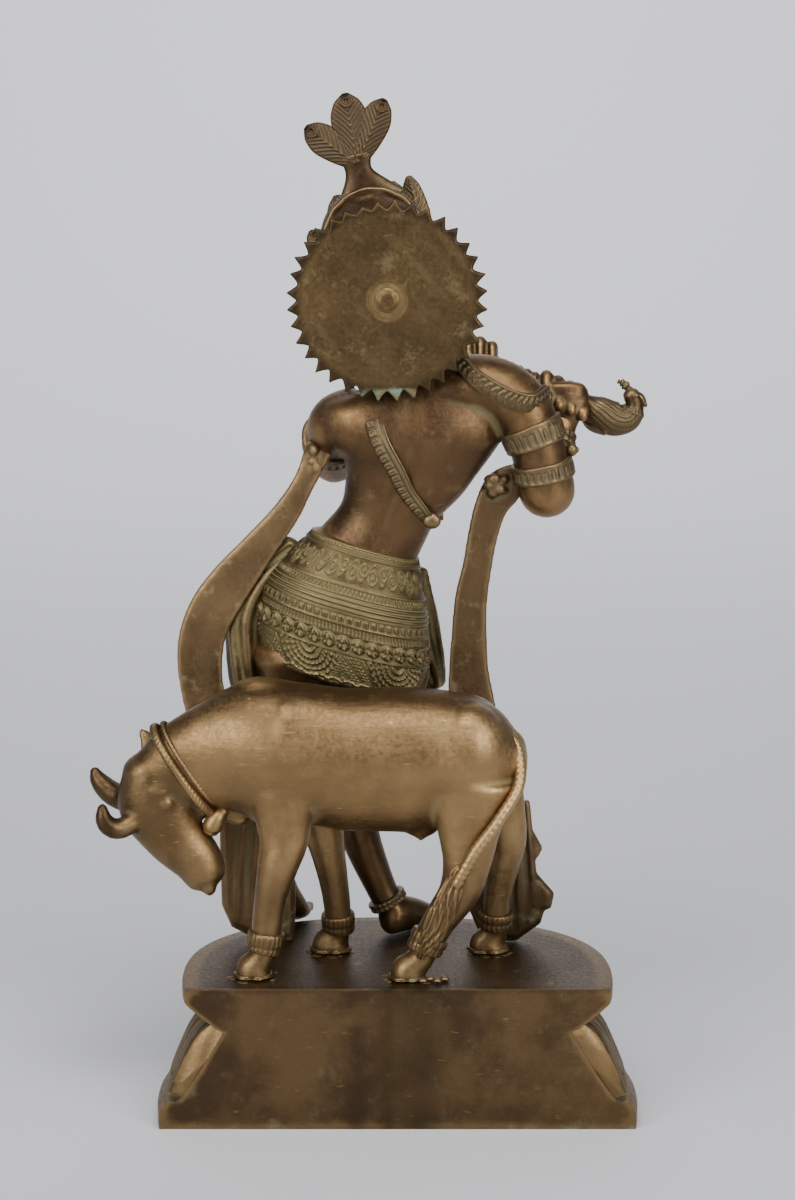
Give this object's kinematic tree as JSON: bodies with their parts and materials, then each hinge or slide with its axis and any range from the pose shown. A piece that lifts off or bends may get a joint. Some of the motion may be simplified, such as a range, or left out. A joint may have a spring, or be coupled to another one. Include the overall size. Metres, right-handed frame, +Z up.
{
  "type": "bronze deity statue",
  "caption": "Standing bronze deity playing a flute beside a cow, with a rayed halo and long scarf, cast with its half-round lotus plinth.",
  "frame": {"origin": "middle of the plinth's flat underside, halfway along its width and near the middle of its depth", "axes": "+Z up, +Y the way the deity faces, +X the deity's right-hand side; the plinth's flat back faces -Y"},
  "size_m": [0.3133, 0.1477, 0.5595],
  "materials": {
    "plinth_bronze": "dark brown patinated bronze with orange-brown and green stains",
    "deity_bronze": "worn brown bronze with green patina in the carving",
    "halo_bronze": "brown and olive bronze with dark rays",
    "cow_bronze": "smooth golden-brown bronze, darker along the spine"
  },
  "bodies": {
    "root": {"plinth": "plinth_bronze", "deity": "deity_bronze", "halo": "halo_bronze", "cow": "cow_bronze"}
  },
  "joints": []
}
